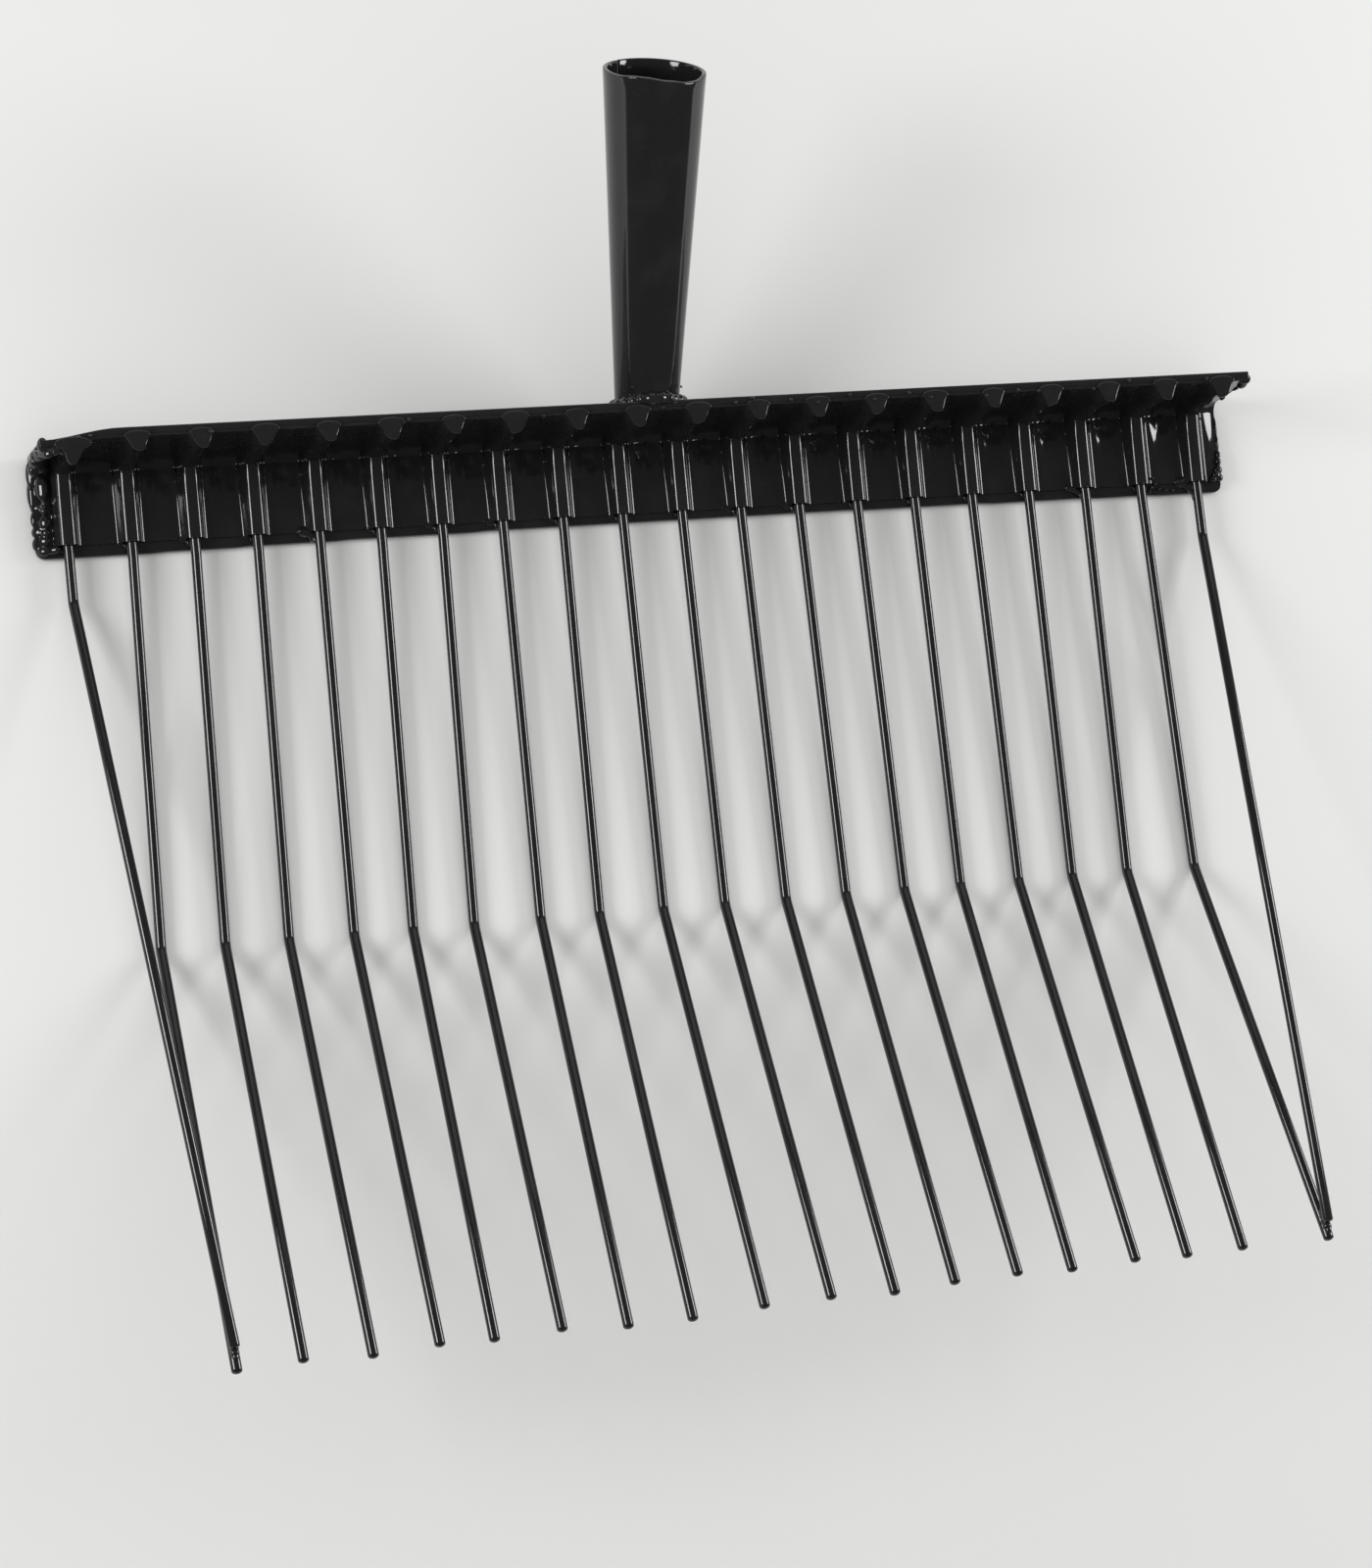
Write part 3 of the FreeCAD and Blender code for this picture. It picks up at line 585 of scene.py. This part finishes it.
# End welds. The left end of the head is closed by one thick lumpy run of weld metal from the leg's edge, through
# the fold and out along the flange. The right end only has a thin one, with a fat blob at the flange's corner.
left_weld = weld_beads("left_end_weld", (
    ((-214.6, -14.3, 3.6), (3.4, 1.5, 1.0)), ((-217.4, -14.4, 2.9), (2.8, 1.9, 1.4)),
    ((-217.2, -10.9, 3.6), (2.6, 2.0, 1.1)), ((-219.3, -11.6, 1.9), (1.9, 2.6, 1.1)),
    ((-216.5, -8.3, 4.4), (1.9, 1.3, 1.0)), ((-218.9, -7.4, 2.6), (2.4, 2.2, 1.0)),
    ((-216.6, -4.6, 4.3), (2.2, 2.6, 1.1)), ((-219.5, -3.0, 2.2), (1.5, 3.0, 1.1)),
    ((-216.3, -0.6, 4.6), (1.6, 1.2, 1.2)), ((-218.6, 0.9, 2.9), (2.4, 1.6, 1.1)),
    ((-215.9, 1.9, 4.9), (1.4, 1.3, 1.1)), ((-216.6, 7.6, 5.1), (2.4, 4.9, 1.2)),
    ((-219.7, 6.0, 2.3), (1.8, 6.0, 1.0)), ((-219.6, 12.5, 3.4), (1.9, 5.0, 1.3)),
    ((-216.2, 13.6, 8.6), (1.6, 1.9, 1.7)), ((-218.6, 13.4, 7.2), (2.2, 2.7, 2.6)),
    ((-218.2, 15.0, 12.6), (2.4, 2.6, 3.4)), ((-218.6, 15.6, 18.4), (2.0, 2.3, 3.6)),
    ((-218.2, 15.2, 24.4), (2.4, 2.7, 3.0)), ((-218.7, 14.6, 30.4), (1.9, 2.4, 3.6)),
    ((-217.9, 13.6, 35.2), (2.7, 2.4, 2.6)), ((-219.0, 15.2, 37.6), (2.0, 2.8, 1.6)),
    ((-217.6, 12.0, 38.8), (2.3, 1.8, 1.0)), ((-215.2, 13.0, 38.9), (2.6, 1.9, 1.0)),
    ((-212.6, 12.6, 39.2), (1.7, 1.4, 0.8)), ((-213.4, 15.2, 39.8), (2.2, 1.2, 0.9))), grain=0.36, calm=2, tilt=-38)
finish_piece(left_weld, "weld_paint", weld_paint, "end_weld_left")
right_weld = weld_beads("right_end_weld", (
    ((218.6, 17.2, 38.8), (2.5, 2.2, 1.4)), ((219.3, 16.4, 34.6), (1.7, 1.9, 3.4)),
    ((219.5, 16.6, 28.4), (0.9, 1.2, 4.6)), ((219.6, 16.8, 20.8), (0.7, 1.0, 5.0)),
    ((219.5, 15.8, 14.8), (0.6, 0.9, 2.6)), ((219.9, 7.4, 3.2), (0.6, 4.4, 0.8)),
    ((219.8, 1.6, 3.1), (0.7, 4.0, 0.9)), ((219.4, -3.2, 3.8), (1.0, 1.6, 1.0)),
    ((219.0, -5.8, 4.1), (1.2, 1.5, 1.0)),
    ((218.7, -9.0, 3.8), (1.7, 1.5, 1.2)), ((217.6, -10.9, 3.9), (1.6, 1.2, 1.4)),
    ((218.8, -11.9, 3.6), (1.6, 1.5, 1.4)), ((216.3, -12.4, 3.8), (1.5, 1.1, 1.1))), grain=0.33, calm=1)
finish_piece(right_weld, "weld_paint", weld_paint, "end_weld_right")


# Socket weld. A heavy bead of weld metal joins the socket's foot to the flange. It is laid by hand all round the
# foot in short overlapping puddles, so it swells and narrows as it goes.
puddle_count = 26
puddle_middle = (-4, 20.4, 26.7)
puddle_ring = (12.5, 13.7)
puddle_half = (2.4, 2.3, 2.2)
puddles = []
for count in range(puddle_count):
    about = 2 * math.pi * count / puddle_count
    swell = 1 + 0.12 * math.sin(5 * about) + 0.08 * math.sin(11 * about + 1)
    place = (puddle_middle[0] + puddle_ring[0] * math.cos(about), puddle_middle[1],
             puddle_middle[2] + puddle_ring[1] * math.sin(about))
    puddles.append((place, [half * swell for half in puddle_half]))
foot_weld = weld_beads("socket_foot_weld", puddles, grain=0.45, calm=2)
finish_piece(foot_weld, "weld_paint", weld_paint, "socket_base_weld")


# Guard tip welds. Each guard's end lies across its neighbour's tip and is held there by a short run of weld
# metal between the two wires, laid along both of them.
tip_beads = ((-5.5, 1.1), (-3.6, 1.5), (-1.4, 1.7), (0.6, 1.6), (2.2, 1.1))
for index, name in ((1, "left"), (tine_count, "right")):
    guard_tip, run = guard_ends[index]
    beads = []
    for along, size in tip_beads:
        place = (guard_tip - off_wire * 0.5 * guard_rise + run * along * mm) / mm
        beads.append((place, (size, size * 1.1, size)))
    tip_weld = weld_beads("guard_tip_weld_" + name + "_run", beads, grain=0.3, calm=2)
    finish_piece(tip_weld, "weld_paint", weld_paint, "guard_tip_weld_" + name)


# Tack welds. A small tack of weld metal beside each wire holds it where it leaves the cover, and three wires have
# a curved one that runs on down the wire. Beads of spatter thrown by the welding have stuck all round them.
tack_shares = (0.9, 0.8, 1.0, 0.7, 1.9, 0.9, 1.0, 1.1, 0.9, 0.8, 0.7, 1.1, 1.1, 0.8, 0.7, 0.9, 0.8, 0.9, 0.8, 2.0)
tacks = []
for index, size in enumerate(tack_shares, 1):
    root = root_place(index) / mm
    tacks.append(((root - 3.4 - 0.5 * size, -12.7, 3.1), (1.9 * size, 0.9 + 0.7 * size, 0.8 * size)))
    tacks.append(((root - 2.0, -13.9 - 0.4 * size, 3.4), (1.0 * size, 1.2 * size, 0.9 * size)))
    tacks.append(((root - 5.6 - 0.6 * size, -12.6, 3.6), (0.45, 0.5, 0.5)))
curved_tacks = ((209, -19, 1.0), (165, -16, 0.9), (-121, -16, 1.1))
curve_steps = 12
for root, low, run in curved_tacks:
    for step in range(curve_steps + 1):
        ease = step / curve_steps
        tacks.append(((root - 1.9 - 4.6 * (1 - ease) ** 2.5, -12.6 + (low + 12.6) * ease, 3.9 + 0.9 * ease),
                      (run * (1 - 0.5 * ease), 1.3 * run, run * (1 - 0.5 * ease))))

# Spatter on the leg's front edge, round the socket's foot, and along the flange's front
leg_spatter = ((190.2, -12.6, 4.1), (191.6, -14.2, 3.2), (193.0, -12.9, 4.0), (190.8, -15.6, 3.0),
               (194.6, -14.8, 3.1), (197.4, -15.2, 3.0), (200.3, -15.4, 3.0), (192.2, -10.9, 4.2))
for place in leg_spatter:
    tacks.append((place, (0.7, 0.6, 0.7)))
foot_spatter = ((3.5, 22.5, 40.6), (6.2, 24.5, 38.5), (5.2, 20.9, 40.3), (-15.2, 21.0, 40.0), (-12, 24.6, 41.0))
for place in foot_spatter:
    tacks.append((place, (0.5, 0.5, 0.5)))
flange_spatter = ((-207, 16.6), (-203, 16.9), (-162, 16.3), (-93, 17), (-45, 15.8), (-2, 16.8), (2.5, 18.2),
                  (24.6, 17.2), (31, 18.6), (45, 17.3), (55, 15.8), (67, 17.9), (76, 15.9), (89, 17.6), (97, 15.6),
                  (118, 15.3), (130, 16.7), (138, 16), (159, 15.7), (173, 18), (203, 17.4))
for along, across in flange_spatter:
    tacks.append(((along, across, 41.1), (0.8, 0.6, 0.7)))

# Spatter in the fold, beside each rib
for index in range(2, tine_count + 1):
    root = root_place(index) / mm
    tacks.append(((root - 5.2, 11.0, 4.7), (0.9, 0.5, 0.6)))
    tacks.append(((root + 4.4, 10.4, 5.6), (0.7, 0.5, 0.7)))
    tacks.append(((root + 1.4, 11.0, 11.4), (0.7, 0.5, 0.5)))
    if index > 10:
        tacks.append(((root - 10.2, 12.2, 4.6), (0.6, 0.6, 0.6)))
tack_welds = weld_beads("tack_welds", tacks, grain=0.28, calm=1)
finish_piece(tack_welds, "weld_paint", weld_paint)


# The studio. A plain pale floor, even light from the room, a large dim board behind the head and a soft box on
# each side of it. The board and the boxes draw the long highlights on the wires and ribs.
floor_material = bpy.data.materials.new("Pale floor")
floor_material.use_nodes = True
floor_shader = floor_material.node_tree.nodes["Principled BSDF"]
floor_shader.inputs["Base Color"].default_value = (0.76, 0.76, 0.75, 1)
floor_shader.inputs["Roughness"].default_value = 0.9
floor_shader.inputs["Specular IOR Level"].default_value = 0.1
bpy.ops.object.select_all(action="DESELECT")
bpy.ops.mesh.primitive_plane_add(size=14, location=(0, 0, -0.1 * mm))
floor = bpy.context.object
floor.name = "floor"
floor.data.materials.append(floor_material)
floor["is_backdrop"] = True

world = bpy.data.worlds.new("Studio")
bpy.context.scene.world = world
world.use_nodes = True
world_nodes, world_link = world.node_tree.nodes, world.node_tree.links.new
room_light = world_nodes["Background"]
room_light.inputs["Color"].default_value = (1, 1, 1, 1)
room_light.inputs["Strength"].default_value = 0.6
mirrored_room = world_nodes.new("ShaderNodeBackground")
mirrored_room.inputs["Color"].default_value = (1, 1, 1, 1)
mirrored_room.inputs["Strength"].default_value = 0.09
ray = world_nodes.new("ShaderNodeLightPath")
in_paint = world_nodes.new("ShaderNodeMixShader")
world_link(ray.outputs["Is Glossy Ray"], in_paint.inputs[0])
world_link(room_light.outputs[0], in_paint.inputs[1])
world_link(mirrored_room.outputs[0], in_paint.inputs[2])
world_link(in_paint.outputs[0], world_nodes["World Output"].inputs["Surface"])

reflector = bpy.data.lights.new("rear_reflector", "AREA")
reflector.shape = "RECTANGLE"
reflector.size = 3.2
reflector.size_y = 2.2
reflector.energy = 0.5 * math.pi * reflector.size * reflector.size_y
reflector_holder = bpy.data.objects.new("rear_reflector", reflector)
bpy.context.scene.collection.objects.link(reflector_holder)
reflector_holder.location = (0.3, 2.2, 1.5)
reflector_holder.rotation_euler = Vector((-0.3, -2.2, -1.3)).to_track_quat("-Z", "Y").to_euler()
reflector_holder.visible_camera = False


def side_lamp(name, elevation, side, width, length, radiance):
    """A soft box beside the head, a little towards its back, turned to face it."""
    distance = 1.5
    backwards = 0.11
    lamp = bpy.data.lights.new(name, "AREA")
    lamp.shape = "RECTANGLE"
    lamp.size = length
    lamp.size_y = width
    lamp.energy = radiance * math.pi * width * length
    holder = bpy.data.objects.new(name, lamp)
    holder.visible_camera = False
    bpy.context.scene.collection.objects.link(holder)
    middle = Vector((side * math.cos(elevation), 0, math.sin(elevation))) * distance
    holder.location = middle + Vector((0, backwards, 0))
    holder.rotation_euler = (-middle).to_track_quat("-Z", "X").to_euler()


side_lamp("left_soft_box", elevation=math.radians(29), side=-1, width=0.52, length=0.50, radiance=13)
side_lamp("right_soft_box", elevation=math.radians(24), side=1, width=0.52, length=0.50, radiance=13)

camera = bpy.data.cameras.new("camera")
camera.lens = 99.217
camera.sensor_width = 36
camera.clip_start = 0.05
camera.clip_end = 50
viewer = bpy.data.objects.new("camera", camera)
bpy.context.scene.collection.objects.link(viewer)
viewer.location = (-0.40475, -0.30715, 1.4706)
viewer.rotation_euler = [math.radians(angle) for angle in (8.9895, -14.5994, -6.4215)]
bpy.context.scene.camera = viewer
bpy.context.scene.view_settings.view_transform = "Standard"

low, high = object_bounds()
